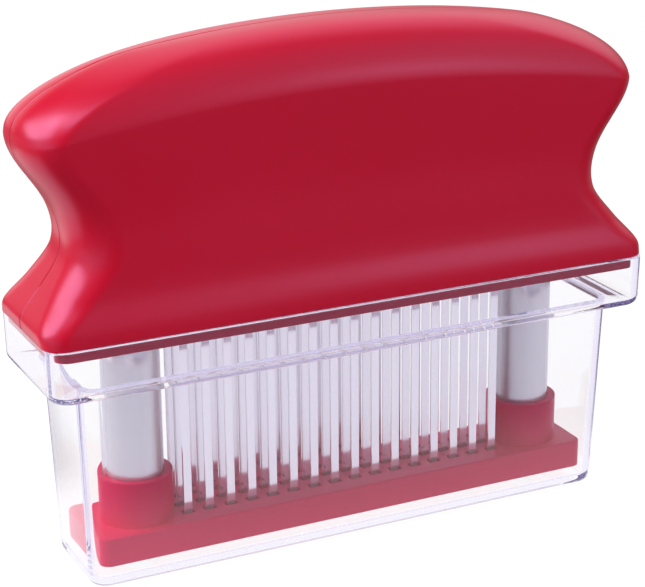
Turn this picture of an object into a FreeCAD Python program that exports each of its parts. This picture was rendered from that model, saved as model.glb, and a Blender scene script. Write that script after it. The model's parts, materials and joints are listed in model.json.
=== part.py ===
import FreeCAD, Part
import math
import os

from FreeCAD import Vector

# Blade meat tenderizer standing in its clear case.  Millimetres, +Z up, X along the length,
# -Y towards the front.  The origin is the middle of the case's underside.

# ---------------------------------------------------------------- driving dimensions
# blades, and the bars that hold their heads
blade_count = 16
blade_pitch = 5.38
row_pitch = 4.7
blade_width = 2.1
blade_thickness = 0.6
blade_bevel = 1.3
blade_tip_depth = 0.5
blade_shoulder = 0.4
blade_head_height = 2.5
bar_height = 12.0
bar_end_wall = 0.5
clamp_thickness = 3.0
clamp_tab_half_length = 3.2
clamp_tab_margin = 2.5

# posts, their guides and springs
post_radius = 6.75
post_wall = 0.75
post_end = 0.6
stroke = 28.0
stroke_margin = 6.8
bush_wall = 1.2
bush_flange = 0.5
bush_flange_thickness = 2.0
bush_rise = 0.6
bush_boss_wall = 1.9
window_end_wall = 0.9
collar_wall = 1.65
collar_thickness = 2.5
foot_height = 6.0
rod_radius = 3.4
rod_head_lip = 1.0
rod_head_thickness = 1.6
rod_headroom = 8.0
seat_flange_thickness = 2.0
seat_headroom = 1.5
seat_neck_wall = 1.2
seat_web_thickness = 2.4
seat_web_margin = 3.0
spring_wire_radius = 0.6
spring_turns = 17

# blade guard
guard_floor_clearance = 2.45
guard_thickness = 6.85
guard_end_margin = 3.3
guard_side_margin = 1.8
guard_corner = 2.4
guard_edge_radius = 0.5
guard_slot_side = 0.45
guard_slot_gap = 0.6
cup_wall = 1.9
cup_height = 11.1
cup_floor = 1.4

# clear case
case_wall = 1.7
case_floor = 1.8
guard_end_clearance = 1.3
guard_side_clearance = 1.1
body_draft_length = 1.5
body_draft_depth = 1.6
body_corner_radius = 4.4
foot_edge_radius = 2.2
ledge_length = 7.2
ledge_depth = 4.0
ledge_thickness = 1.6
lip_height = 12.3
lip_corner_radius = 4.7
lip_draft = 0.2
lip_edge_radius = 2.2

# base plate, with the plug that enters the case's lip
plug_depth = 2.7
plug_clearance = 0.35
deck_thickness = 3.0
deck_clearance = 0.9
deck_corner = 5.0
blade_web = 1.0
web_slot_clearance = 0.25

# handle: heights above the flange's underside on the middle plane, and steps in from the flange
handle_wall = 2.4
flange_overhang = 0.7
flange_setback = 0.7
flange_corner = 5.0
flare_height = 3.8
flare_step_length = 0.1
flare_step_depth = 0.4
sweep_height = 10.6
sweep_step_length = 4.6
sweep_fullness = 0.8
waist_height = 19.2
waist_step_length = 9.6
waist_clearance = 0.8
waist_corner_length = 9.8
waist_end_flat = 4.2
grip_height = 29.2
grip_step_length = 8.6
grip_hollow = 0.6
shoulder_lift = 4.2
shoulder_step_length = 0.1
shoulder_hollow = 0.4
shoulder_corner_length = 8.0
shoulder_end_flat = 1.8
crown_rise = 12.8
crown_fullness = 3.15
crown_lean = 28.7
end_bulge = 2.4
end_fullness = 1.8
corner_spread = 2.5
ridge_step_length = 29.3
ridge_flat_length = 14.0
ridge_tuck = 0.3
arch_drop = 8.9

# screws and dowels
screw_radius = 1.5
screw_head_radius = 2.5
screw_head_height = 1.8
screw_head_recess = 0.2
screw_boss_wall = 1.3
shell_screw_reach = 9.0
end_screw_inset = 11.6
end_screw_y = 7.0
side_screw_x = 30.0
side_screw_margin = 2.8
clamp_screw_x = 15.0
clamp_screw_reach = 6.0
clamp_boss_wall = 0.9
post_screw_radius = 2.0
post_screw_head_radius = 3.8
post_screw_head_height = 2.6
post_screw_recess = 1.75
post_screw_end_gap = 1.0
washer_radius = 4.4
washer_thickness = 0.7
dowel_radius = 1.5
dowel_half_length = 4.5
dowel_boss_wall = 1.7
low_dowel_x = 27.0
low_dowel_height = 33.0
high_dowel_height = 47.0

# clearances
running_clearance = 0.05
seat_clearance = 0.05
head_clearance = 0.2
rest_gap = 0.3

# ---------------------------------------------------------------- worked-out places
# along and across, from the blades outwards
blade_places = [(i - (blade_count - 1) / 2.0) * blade_pitch for i in range(blade_count)]
row_places = (("front", -row_pitch), ("middle", 0.0), ("rear", row_pitch))
blade_head_width = blade_width + 2.0 * blade_shoulder
bar_half_length = ((blade_count - 1) * blade_pitch + blade_head_width) / 2.0 + seat_clearance + bar_end_wall
bar_half_depth = row_pitch / 2.0 - seat_clearance
window_half_length = bar_half_length + seat_clearance
window_half_depth = len(row_places) * row_pitch / 2.0 + seat_clearance

post_bore = post_radius - post_wall
bush_bore = post_radius + running_clearance
bush_radius = bush_bore + bush_wall
post_x = window_half_length + window_end_wall + bush_radius
post_places = (("left", -post_x), ("right", post_x))
cup_bore = post_radius + seat_clearance
cup_radius = cup_bore + cup_wall
guard_half_length = post_x + cup_radius + guard_end_margin
guard_half_depth = cup_radius + guard_side_margin
spring_radius = (post_bore + rod_radius) / 2.0
seat_neck_radius = rod_radius + seat_neck_wall
seat_web_half_length = post_bore + seat_web_margin

body_foot_half_length = guard_half_length + guard_end_clearance + case_wall
body_foot_half_depth = guard_half_depth + guard_side_clearance + case_wall
body_top_half_length = body_foot_half_length + body_draft_length
body_top_half_depth = body_foot_half_depth + body_draft_depth
case_half_length = body_top_half_length + ledge_length
case_half_depth = body_top_half_depth + ledge_depth
lip_room_radius = lip_corner_radius - case_wall

# upwards, from the case's floor
guard_bottom_z = case_floor + guard_floor_clearance
guard_top_z = guard_bottom_z + guard_thickness
blade_tip_z = guard_top_z - blade_tip_depth
cup_top_z = guard_top_z + cup_height
washer_z = guard_bottom_z + post_screw_recess + post_screw_head_height
post_bottom_z = guard_top_z + cup_floor
foot_top_z = post_bottom_z + foot_height
plug_bottom_z = cup_top_z + stroke + stroke_margin
flange_z = plug_bottom_z + plug_depth
case_height = flange_z
ledge_z = case_height - lip_height
deck_top_z = flange_z + deck_thickness
bar_bottom_z = plug_bottom_z + blade_web
bar_top_z = bar_bottom_z + bar_height
clamp_top_z = bar_top_z + clamp_thickness
bush_top_z = bar_top_z + bush_rise
bush_seat_z = bush_top_z - bush_flange_thickness
collar_z = bush_top_z + rest_gap
post_top_z = collar_z + collar_thickness + post_end
rod_bottom_z = post_bottom_z + stroke + rod_headroom
seat_z = post_top_z + stroke + seat_headroom
seat_web_z = seat_z + seat_flange_thickness
seat_top_z = seat_web_z + seat_web_thickness + seat_flange_thickness

# screws, from the walls that they hold
both = (-1.0, 1.0)
flange_half_length = case_half_length + flange_overhang
flange_half_depth = case_half_depth - flange_setback
end_screw_x = flange_half_length - end_screw_inset
side_screw_y = window_half_depth + screw_radius + side_screw_margin
clamp_screw_y = window_half_depth + screw_radius + clamp_boss_wall
clamp_tab_half_depth = clamp_screw_y + clamp_tab_margin
shell_screw_places = [(sx * x, sy * y) for sx in both for sy in both
                      for x, y in ((end_screw_x, end_screw_y), (side_screw_x, side_screw_y))]
clamp_screw_places = [(sx * clamp_screw_x, sy * clamp_screw_y) for sx in both for sy in both]
dowel_places = ((-low_dowel_x, flange_z + low_dowel_height), (low_dowel_x, flange_z + low_dowel_height),
                (0.0, flange_z + high_dowel_height))

# the handle's outline at each height, from what it has to hold
waist_half_depth = clamp_tab_half_depth + waist_clearance + handle_wall
shoulder_height = seat_web_z - flange_z + shoulder_lift
crown_height = shoulder_height + crown_rise
shoulder_half_length = flange_half_length - shoulder_step_length
shoulder_half_depth = waist_half_depth - shoulder_hollow
ridge_half_length = shoulder_half_length - ridge_step_length
ridge_corner_length = ridge_half_length - ridge_flat_length
station_heights = (0.0, flare_height, sweep_height, waist_height, grip_height, shoulder_height)
station_half_lengths = (flange_half_length, flange_half_length - flare_step_length,
                        flange_half_length - sweep_step_length, flange_half_length - waist_step_length,
                        flange_half_length - grip_step_length, shoulder_half_length)
station_half_depths = (flange_half_depth, flange_half_depth - flare_step_depth,
                       waist_half_depth + sweep_fullness, waist_half_depth,
                       waist_half_depth - grip_hollow, shoulder_half_depth)
corner_heights = (0.0, waist_height, shoulder_height)
corner_lengths = (flange_corner, waist_corner_length, shoulder_corner_length)
corner_depths = (flange_corner, waist_half_depth - waist_end_flat, shoulder_half_depth - shoulder_end_flat)


# ---------------------------------------------------------------- small helpers
def rounded_rectangle(x, y, r, z):
    """Closed wire of four lines and four arcs at height z, from half length, half depth and corner radius."""
    corners = ((x - r, y - r, 0.0), (r - x, y - r, 90.0), (r - x, r - y, 180.0), (x - r, r - y, 270.0))
    arcs = []
    for cx, cy, start in corners:
        angles = [math.radians(start + turn) for turn in (0.0, 45.0, 90.0)]
        arcs.append([Vector(cx + r * math.cos(angle), cy + r * math.sin(angle), z) for angle in angles])
    edges = []
    for points, following in zip(arcs, arcs[1:] + arcs[:1]):
        edges.append(Part.Arc(*points).toShape())
        edges.append(Part.LineSegment(points[2], following[0]).toShape())
    return Part.Wire(edges)


def tapered_block(lower, upper):
    """Solid between two rounded rectangles, each given as half length, half depth, radius, z."""
    return Part.makeLoft([rounded_rectangle(*lower), rounded_rectangle(*upper)], True, True)


def block(x0, x1, y0, y1, z0, z1):
    """Plain box between two corners."""
    return Part.makeBox(x1 - x0, y1 - y0, z1 - z0, Vector(x0, y0, z0))


def upright(radius, z0, z1, x, y=0.0):
    """Cylinder standing on z0 and ending at z1."""
    return Part.makeCylinder(radius, z1 - z0, Vector(x, y, z0))


def crosswise(radius, y0, y1, x, z):
    """Cylinder along Y from y0 to y1."""
    return Part.makeCylinder(radius, y1 - y0, Vector(x, y0, z), Vector(0, 1, 0))


def ring(outer, inner, z0, z1, x):
    """Upright ring or tube on the middle plane."""
    return upright(outer, z0, z1, x).cut(upright(inner, z0, z1, x))


def turned(profile, x):
    """Solid turned about the upright axis through x on the middle plane; profile is (radius, z) points."""
    points = [Vector(r, 0, z) for r, z in profile]
    solid = Part.Face(Part.makePolygon(points + points[:1])).revolve(Vector(0, 0, 0), Vector(0, 0, 1), 360)
    solid.translate(Vector(x, 0, 0))
    return solid


def save(node, *solids):
    """Write one node; identical loose pieces share it as a group of separate solids."""
    shape = solids[0] if len(solids) == 1 else Part.makeCompound(list(solids))
    shape.exportStep("parts/" + node + ".step")
    print("%-20s %2d solid(s) %10.1f mm3 valid %s"
          % (node, len(shape.Solids), shape.Volume, shape.isValid()))


# ---------------------------------------------------------------- clear case
def edges_at(shape, z):
    """Edges of a shape that lie wholly in the level plane z."""
    return [e for e in shape.Edges if abs(e.BoundBox.ZMin - z) < 1e-4 and abs(e.BoundBox.ZMax - z) < 1e-4]


def make_case():
    """Drafted cup whose mouth steps out into a deeper lip for the handle's plug."""
    overlap = ledge_thickness / 2.0
    inner_radius = body_corner_radius - case_wall
    body = tapered_block((body_foot_half_length, body_foot_half_depth, body_corner_radius, 0.0),
                         (body_top_half_length, body_top_half_depth, body_corner_radius, ledge_z + overlap))
    body = body.makeFillet(foot_edge_radius, edges_at(body, 0.0))
    lip = tapered_block((case_half_length, case_half_depth, lip_corner_radius, ledge_z),
                        (case_half_length + lip_draft, case_half_depth + lip_draft,
                         lip_corner_radius + lip_draft, case_height))
    lip = lip.makeFillet(lip_edge_radius, edges_at(lip, ledge_z))
    body_room = tapered_block((body_foot_half_length - case_wall, body_foot_half_depth - case_wall,
                               inner_radius, case_floor),
                              (body_top_half_length - case_wall, body_top_half_depth - case_wall,
                               inner_radius, ledge_z + ledge_thickness + overlap))
    body_room = body_room.makeFillet(foot_edge_radius - case_wall / 2.0, edges_at(body_room, case_floor))
    room_half_length, room_half_depth = case_half_length - case_wall, case_half_depth - case_wall
    lip_room = tapered_block((room_half_length, room_half_depth, lip_room_radius, ledge_z + ledge_thickness),
                             (room_half_length + lip_draft, room_half_depth + lip_draft,
                              lip_room_radius + lip_draft, case_height))
    return body.fuse(lip).cut(body_room).cut(lip_room).removeSplitter()


# ---------------------------------------------------------------- handle shells
def smooth_value(places, values, at):
    """Smooth curve through named stations: cubic pieces that share the slope at each station."""
    slopes = []
    last = len(places) - 1
    for i in range(len(places)):
        before, after = max(i - 1, 0), min(i + 1, last)
        slopes.append((values[after] - values[before]) / (places[after] - places[before]))
    slopes[last] = 0.0
    i = 0
    while i < last - 1 and at > places[i + 1]:
        i += 1
    width = places[i + 1] - places[i]
    t = min(max((at - places[i]) / width, 0.0), 1.0)
    lead = (1 + 2 * t) * (1 - t) ** 2 * values[i] + t * (1 - t) ** 2 * width * slopes[i]
    return lead + t * t * (3 - 2 * t) * values[i + 1] + t * t * (t - 1) * width * slopes[i + 1]


def handle_row(share, inset):
    """Level outline of half the handle, from the right end round the front to the left end.

    share runs from 0 at the flange to 1 at the shoulder's edge and to 2 at the crown's ridge. Across, the
    crown is the upper part of a superellipse: it starts crown_lean degrees into the curve, so it leans in
    at once. Its ends start upright and bulge, so the edge dies out towards them. inset is the distance
    inside the handle's own surface.
    """
    top = crown_height - inset
    if share <= 1.0:
        height = shoulder_height * share
        half_length = smooth_value(station_heights, station_half_lengths, height) - inset
        half_depth = smooth_value(station_heights, station_half_depths, height) - inset
        corner_length = smooth_value(corner_heights, corner_lengths, height) - inset / 2.0
        corner_depth = smooth_value(corner_heights, corner_depths, height) - inset / 2.0
    else:
        power = 2.0 / crown_fullness
        start = math.radians(crown_lean)
        turn = start + (share - 1.0) * (math.pi / 2.0 - start)
        across = max(math.cos(turn) / math.cos(start), 0.0) ** power
        rise = (math.sin(turn) ** power - math.sin(start) ** power) / (1.0 - math.sin(start) ** power)
        along = max(1.0 - rise ** end_bulge, 0.0) ** (1.0 / end_fullness)
        own = across ** corner_spread
        height = shoulder_height + (top - shoulder_height) * rise
        half_length = ridge_half_length + (ridge_step_length - inset) * along
        half_depth = (shoulder_half_depth - inset) * across
        corner_length = (shoulder_corner_length - inset / 2.0) * own + ridge_corner_length * (1.0 - own)
        corner_depth = (corner_depths[-1] - inset / 2.0) * across
    quarter = []
    flat = half_depth - corner_depth
    tuck = ridge_tuck * max(share - 1.0, 0.0)
    for k in range(2):
        quarter.append((half_length - tuck * k, flat * k / 2.0))
    for k in range(9):
        angle = math.pi / 2.0 * k / 8.0
        quarter.append((half_length - 2.0 * tuck - corner_length * (1.0 - math.cos(angle)),
                        flat + corner_depth * math.sin(angle)))
    straight = quarter[-1][0]
    for fraction in (0.95, 0.82, 0.58, 0.3):
        quarter.append((straight * fraction, half_depth))
    outline = quarter + [(0.0, half_depth)] + [(-x, y) for x, y in reversed(quarter)]
    row = []
    for x, y in outline:
        drop = 1.0 - arch_drop / crown_height * (x / shoulder_half_length) ** 2
        row.append(Vector(x, -y, flange_z + height * drop))
    return row


def chord_places(rows):
    """Running share of length along each row, averaged over the rows."""
    places = [0.0] * len(rows[0])
    for row in rows:
        steps = [first.distanceToPoint(second) for first, second in zip(row, row[1:])]
        for i in range(1, len(row)):
            places[i] += sum(steps[:i]) / sum(steps) / len(rows)
    return places


def surface_through(rows, across):
    """Cubic surface through a grid of points; its edges keep to the planes of their points."""
    along = chord_places(list(zip(*rows)))
    sections = []
    for row in rows:
        section = Part.BSplineCurve()
        section.interpolate(Points=row, Parameters=across)
        sections.append(section)
    pole_lines = []
    for poles in zip(*[section.getPoles() for section in sections]):
        line = Part.BSplineCurve()
        line.interpolate(Points=list(poles), Parameters=along)
        pole_lines.append(line)
    surface = Part.BSplineSurface()
    surface.buildFromPolesMultsKnots([line.getPoles() for line in pole_lines],
                                     sections[0].getMultiplicities(), pole_lines[0].getMultiplicities(),
                                     sections[0].getKnots(), pole_lines[0].getKnots(),
                                     False, False, sections[0].Degree, pole_lines[0].Degree)
    return surface


def handle_half(inset):
    """Solid front half of the handle's form, flat on the middle plane and underneath."""
    side_rows = [handle_row(k / 12.0, inset) for k in range(13)]
    crown_rows = [handle_row(1.0 + k / 9.0, inset) for k in range(10)]
    across = chord_places(side_rows + crown_rows)
    skins = [surface_through(rows, across).toShape() for rows in (side_rows, crown_rows)]
    foot = min(skins[0].Edges, key=lambda edge: edge.BoundBox.ZMax)
    rim = [edge for skin in skins for edge in skin.Edges if edge.BoundBox.YLength < 0.01]
    chord = Part.LineSegment(foot.Vertexes[0].Point, foot.Vertexes[-1].Point).toShape()
    middle_face = Part.Face(Part.Wire(Part.__sortEdges__(rim + [chord])))
    foot_face = Part.Face(Part.Wire(Part.__sortEdges__([foot, chord])))
    shell = Part.makeShell(skins + [middle_face, foot_face])
    shell.sewShape()
    solid = Part.makeSolid(shell)
    if solid.Volume < 0:
        solid.reverse()
    return solid


def make_front_shell():
    """Front half of the handle, with screw bosses, dowel bosses and the webs that carry the spring seats."""
    room = handle_half(handle_wall)
    reach = flange_half_depth
    web_top_z = seat_web_z + seat_web_thickness
    boss_top_z = deck_top_z + shell_screw_reach + screw_boss_wall
    bosses = [upright(screw_radius + screw_boss_wall, deck_top_z, boss_top_z, x, y)
              for x, y in shell_screw_places if y < 0]
    for name, x in post_places:
        bosses.append(block(x - seat_web_half_length, x + seat_web_half_length, -reach, 0.0,
                            seat_web_z, web_top_z))
    for x, z in dowel_places:
        bosses.append(crosswise(dowel_radius + dowel_boss_wall, -reach, 0.0, x, z))
    shell = handle_half(0.0).cut(room.cut(bosses))
    holes = [upright(screw_radius, deck_top_z, deck_top_z + shell_screw_reach, x, y)
             for x, y in shell_screw_places if y < 0]
    for name, x in post_places:
        holes.append(upright(seat_neck_radius + seat_clearance, seat_web_z, web_top_z, x))
    for x, z in dowel_places:
        holes.append(crosswise(dowel_radius, -dowel_half_length, dowel_half_length, x, z))
    return shell.cut(holes)


def make_dowels():
    """Plain pins that line the two shells up."""
    return [crosswise(dowel_radius, -dowel_half_length, dowel_half_length, x, z) for x, z in dowel_places]


# ---------------------------------------------------------------- base plate and blades
def make_base_plate():
    """Deck inside the shells with a plug below it, a window for the blade bars and two guide bores."""
    plug_inset = case_wall + plug_clearance
    plug_size = (case_half_length - plug_inset, case_half_depth - plug_inset, lip_room_radius)
    plug = tapered_block(plug_size + (plug_bottom_z,), plug_size + (flange_z,))
    deck_inset = handle_wall + deck_clearance
    deck_size = (flange_half_length - deck_inset, flange_half_depth - deck_inset, deck_corner)
    deck = tapered_block(deck_size + (flange_z,), deck_size + (deck_top_z,))
    bosses = [upright(bush_radius + bush_boss_wall, flange_z, bush_seat_z, x) for name, x in post_places]
    clamp_boss_radius = screw_radius + clamp_boss_wall
    bosses += [upright(clamp_boss_radius, flange_z, bar_top_z, x, y) for x, y in clamp_screw_places]
    plate = plug.multiFuse([deck] + bosses).removeSplitter()
    cuts = [block(-window_half_length, window_half_length, -window_half_depth, window_half_depth,
                  bar_bottom_z, bar_top_z)]
    half_width = blade_width / 2.0 + web_slot_clearance
    half_thickness = blade_thickness / 2.0 + web_slot_clearance
    for row, y in row_places:
        for x in blade_places:
            cuts.append(block(x - half_width, x + half_width, y - half_thickness, y + half_thickness,
                              plug_bottom_z, bar_bottom_z))
    for name, x in post_places:
        cuts.append(upright(bush_radius, plug_bottom_z, bush_seat_z, x))
    for x, y in shell_screw_places:
        cuts.append(upright(screw_radius + seat_clearance, plug_bottom_z, deck_top_z, x, y))
        cuts.append(upright(screw_head_radius + head_clearance, plug_bottom_z,
                            plug_bottom_z + screw_head_recess + screw_head_height, x, y))
    for x, y in clamp_screw_places:
        cuts.append(upright(screw_radius, bar_top_z - clamp_screw_reach, bar_top_z, x, y))
    return plate.cut(cuts)


def make_blade(x, y):
    """Flat strip with a wider head on top and a knife edge across its foot."""
    half_width, half_thickness, half_head = blade_width / 2.0, blade_thickness / 2.0, blade_head_width / 2.0
    neck_z = bar_top_z - blade_head_height
    edge = [Vector(x - half_width, y, blade_tip_z),
            Vector(x - half_width, y + half_thickness, blade_tip_z + blade_bevel),
            Vector(x - half_width, y + half_thickness, neck_z),
            Vector(x - half_width, y - half_thickness, neck_z),
            Vector(x - half_width, y - half_thickness, blade_tip_z + blade_bevel)]
    strip = Part.Face(Part.makePolygon(edge + edge[:1])).extrude(Vector(blade_width, 0, 0))
    head = block(x - half_head, x + half_head, y - half_thickness, y + half_thickness, neck_z, bar_top_z)
    return strip.fuse(head)


def make_blade_bar(y):
    """Bar of one row: every blade drops through it and hangs by its head in a pocket."""
    bar = block(-bar_half_length, bar_half_length, y - bar_half_depth, y + bar_half_depth,
                bar_bottom_z, bar_top_z)
    half_thickness = blade_thickness / 2.0 + seat_clearance
    half_width = blade_width / 2.0 + seat_clearance
    half_head = blade_head_width / 2.0 + seat_clearance
    cuts = []
    for x in blade_places:
        cuts.append(block(x - half_width, x + half_width, y - half_thickness, y + half_thickness,
                          bar_bottom_z, bar_top_z))
        cuts.append(block(x - half_head, x + half_head, y - half_thickness, y + half_thickness,
                          bar_top_z - blade_head_height, bar_top_z))
    return bar.cut(cuts)


def make_clamp_plate():
    """Plate over the three bars, with four tabs for its screws."""
    plate = block(-bar_half_length, bar_half_length, -window_half_depth, window_half_depth,
                  bar_top_z, clamp_top_z)
    tabs = [block(x - clamp_tab_half_length, x + clamp_tab_half_length, -clamp_tab_half_depth,
                  clamp_tab_half_depth, bar_top_z, clamp_top_z) for x in (-clamp_screw_x, clamp_screw_x)]
    hole_radius = screw_radius + seat_clearance
    holes = [upright(hole_radius, bar_top_z, clamp_top_z, x, y) for x, y in clamp_screw_places]
    return plate.multiFuse(tabs).removeSplitter().cut(holes)


def make_screw(radius, head_radius, head_z, head_height, tip_z, x, y):
    """Pan-head screw; its head sits on head_z, on the side away from the tip."""
    under = head_z - head_height if tip_z > head_z else head_z
    head = upright(head_radius, under, under + head_height, x, y)
    return head.fuse(upright(radius, min(head_z, tip_z), max(head_z, tip_z), x, y)).removeSplitter()


# ---------------------------------------------------------------- guard, posts and springs
def make_guard():
    """Slotted bar with a cup at each end for its post."""
    bar_size = (guard_half_length, guard_half_depth, guard_corner)
    bar = tapered_block(bar_size + (guard_bottom_z,), bar_size + (guard_top_z,))
    bar = bar.makeFillet(guard_edge_radius, edges_at(bar, guard_top_z))
    cup_foot_z = guard_bottom_z + guard_edge_radius
    guard = bar.multiFuse([upright(cup_radius, cup_foot_z, cup_top_z, x) for name, x in post_places])
    half_width, half_depth = blade_width / 2.0 + guard_slot_side, blade_thickness / 2.0 + guard_slot_gap
    cuts = []
    for row, y in row_places:
        for x in blade_places:
            cuts.append(block(x - half_width, x + half_width, y - half_depth, y + half_depth,
                              guard_bottom_z, guard_top_z))
    for name, x in post_places:
        cuts.append(upright(cup_bore, post_bottom_z, cup_top_z, x))
        cuts.append(upright(post_screw_radius + head_clearance, guard_bottom_z, post_bottom_z, x))
        cuts.append(upright(washer_radius + head_clearance, guard_bottom_z, washer_z + washer_thickness, x))
    return guard.cut(cuts)


def make_bush(x):
    """Flanged guide bush that the post slides in."""
    return turned(((bush_bore, plug_bottom_z), (bush_radius, plug_bottom_z), (bush_radius, bush_seat_z),
                   (bush_radius + bush_flange, bush_seat_z), (bush_radius + bush_flange, bush_top_z),
                   (bush_bore, bush_top_z)), x)


def make_spring_seat(x):
    """Grooved seat held by the webs of both shells, bored for the guide rod."""
    web_top_z = seat_web_z + seat_web_thickness
    return turned(((rod_radius, seat_z), (post_bore, seat_z), (post_bore, seat_web_z),
                   (seat_neck_radius, seat_web_z), (seat_neck_radius, web_top_z),
                   (post_bore, web_top_z), (post_bore, seat_top_z), (rod_radius, seat_top_z)), x)


def make_guide_rod(x):
    """Headed rod down the middle of the spring."""
    head_radius, head_top_z = rod_radius + rod_head_lip, seat_top_z + rod_head_thickness
    return turned(((0, rod_bottom_z), (rod_radius, rod_bottom_z), (rod_radius, seat_top_z),
                   (head_radius, seat_top_z), (head_radius, head_top_z), (0, head_top_z)), x)


def make_spring(x):
    """Round-wire compression spring between the post's foot and the spring seat."""
    low, high = foot_top_z + spring_wire_radius, seat_z - spring_wire_radius
    helix = Part.makeHelix((high - low) / spring_turns, high - low, spring_radius)
    section = Part.Circle(Vector(spring_radius, 0, 0), Vector(0, 1, 0), spring_wire_radius).toShape()
    wire = Part.Wire(helix).makePipeShell([Part.Wire(section)], True, True)
    wire.translate(Vector(x, 0, low))
    return wire


def make_post_pieces(name, x):
    """Everything that stands on one post's axis, as node name and solid."""
    collar_top_z = collar_z + collar_thickness
    return ((name + "_guide_bush", make_bush(x)),
            (name + "_spring_seat", make_spring_seat(x)),
            (name + "_guide_rod", make_guide_rod(x)),
            (name + "_spring", make_spring(x)),
            (name + "_post", ring(post_radius, post_bore, post_bottom_z, post_top_z, x)),
            (name + "_post_collar", ring(post_radius + collar_wall, post_radius, collar_z, collar_top_z, x)),
            (name + "_post_foot", ring(post_bore, post_screw_radius, post_bottom_z, foot_top_z, x)))


def make_shell_screw(x, y):
    """Screw from under the base plate up into a shell's boss."""
    head_z = plug_bottom_z + screw_head_recess + screw_head_height
    return make_screw(screw_radius, screw_head_radius, head_z, screw_head_height,
                      deck_top_z + shell_screw_reach, x, y)


def make_clamp_screw(x, y):
    """Screw from above through the clamp plate's tab."""
    return make_screw(screw_radius, screw_head_radius, clamp_top_z, screw_head_height,
                      bar_top_z - clamp_screw_reach, x, y)


def make_post_screw(x):
    """Screw from under the guard up into the post's threaded foot."""
    return make_screw(post_screw_radius, post_screw_head_radius, washer_z, post_screw_head_height,
                      foot_top_z - post_screw_end_gap, x, 0.0)


def main():
    """Make every node's solids and write them."""
    os.makedirs("parts", exist_ok=True)
    front_shell = make_front_shell()
    save("clear_case", make_case())
    save("handle_front_shell", front_shell)
    save("handle_rear_shell", front_shell.mirror(Vector(0, 0, 0), Vector(0, 1, 0)))
    save("shell_dowels", *make_dowels())
    save("base_plate", make_base_plate())
    save("base_plate_screws", *[make_shell_screw(x, y) for x, y in shell_screw_places])
    for row, y in row_places:
        save(row + "_blade_bar", make_blade_bar(y))
        save(row + "_blades", *[make_blade(x, y) for x in blade_places])
    save("clamp_plate", make_clamp_plate())
    save("clamp_screws", *[make_clamp_screw(x, y) for x, y in clamp_screw_places])
    save("blade_guard", make_guard())
    for name, x in post_places:
        for node, solid in make_post_pieces(name, x):
            save(node, solid)
    washer_top_z = washer_z + washer_thickness
    save("post_screws", *[make_post_screw(x) for name, x in post_places])
    save("post_washers", *[ring(washer_radius, post_screw_radius, washer_z, washer_top_z, x)
                           for name, x in post_places])


if __name__ == "__main__":
    main()
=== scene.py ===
"""Dresses the blade meat tenderizer: its moulded handle, clear case, blades, guard, posts and springs.

Every length is in metres, in the part's own frame: +Z up, X along the tool, -Y towards the front.
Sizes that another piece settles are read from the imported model; the rest are fields of the classes.
"""
import json
import logging
import math
from dataclasses import dataclass
from enum import Enum
from functools import reduce
from typing import Callable, Dict, List, Tuple, Union

import bmesh
import bpy
import numpy as np
from mathutils import Matrix, Quaternion, Vector


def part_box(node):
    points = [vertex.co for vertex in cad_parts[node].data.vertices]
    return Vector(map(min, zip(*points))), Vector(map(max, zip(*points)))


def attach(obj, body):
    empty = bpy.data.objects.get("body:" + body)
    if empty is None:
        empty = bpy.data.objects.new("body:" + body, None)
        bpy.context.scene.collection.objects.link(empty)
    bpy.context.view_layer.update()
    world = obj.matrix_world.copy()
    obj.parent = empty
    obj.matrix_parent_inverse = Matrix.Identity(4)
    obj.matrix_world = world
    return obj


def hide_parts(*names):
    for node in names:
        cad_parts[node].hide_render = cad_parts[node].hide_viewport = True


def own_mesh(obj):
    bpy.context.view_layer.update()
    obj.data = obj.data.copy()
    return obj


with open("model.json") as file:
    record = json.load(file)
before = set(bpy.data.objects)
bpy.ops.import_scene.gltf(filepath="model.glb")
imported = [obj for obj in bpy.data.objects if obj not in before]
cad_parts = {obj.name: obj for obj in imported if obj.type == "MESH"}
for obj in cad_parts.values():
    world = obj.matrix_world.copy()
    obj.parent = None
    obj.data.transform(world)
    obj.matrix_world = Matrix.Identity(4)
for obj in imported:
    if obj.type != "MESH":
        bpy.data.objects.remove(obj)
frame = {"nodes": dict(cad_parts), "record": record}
LOG = logging.getLogger("tenderizer")
MM = 0.001
QUARTER_TURN = math.pi / 2.0
WHOLE_TURN = 2.0 * math.pi
NOTHING = 1e-9
WELD = 0.001 * MM
COPY_WELD = 0.002 * MM
FLAT_ANGLE = 1.0
SHARP_ANGLE = 35.0
BEVEL_ANGLE = 40.0
WHITE = (1.0, 1.0, 1.0)
Colour = Tuple[float, float, float]
Node = bpy.types.Node
Socket = bpy.types.NodeSocket
Sockets = bpy.types.bpy_prop_collection
Piece = bpy.types.Object
Points = np.ndarray


def in_mm(*sizes: float) -> Tuple[float, ...]:
    """Sizes given in millimetres, as metres."""
    return tuple(size * MM for size in sizes)


def opaque(colour: Colour) -> Tuple[float, ...]:
    """A colour with full cover, as Blender's sockets take it."""
    return (*colour, 1.0)


def linked(name: str, data: bpy.types.ID) -> Piece:
    """Makes an object of its data and links it to the scene.

    Args:
        name: the object's name.
        data: its mesh, lamp or camera.

    Returns:
        The new object.
    """
    piece = bpy.data.objects.new(name, data)
    bpy.context.scene.collection.objects.link(piece)
    return piece


class Body(Enum):
    """The three bodies that move against each other."""

    CASE = "case"
    HANDLE = "handle"
    GUARD = "guard"


class Side(Enum):
    """Which end of the tool a piece belongs to."""

    LEFT = -1
    RIGHT = 1

    @property
    def word(self) -> str:
        """The side's name as the nodes write it."""
        return self.name.lower()


class Row(Enum):
    """The three rows of blades."""

    FRONT = "front"
    MIDDLE = "middle"
    REAR = "rear"


class Slot(Enum):
    """The record's material slots."""

    CLEAR = "clear_plastic"
    RED = "red_plastic"
    WHITE = "white_plastic"
    BLADE = "blade_steel"
    POST = "post_steel"
    SCREW = "screw_steel"
    SPRING = "spring_steel"


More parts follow.
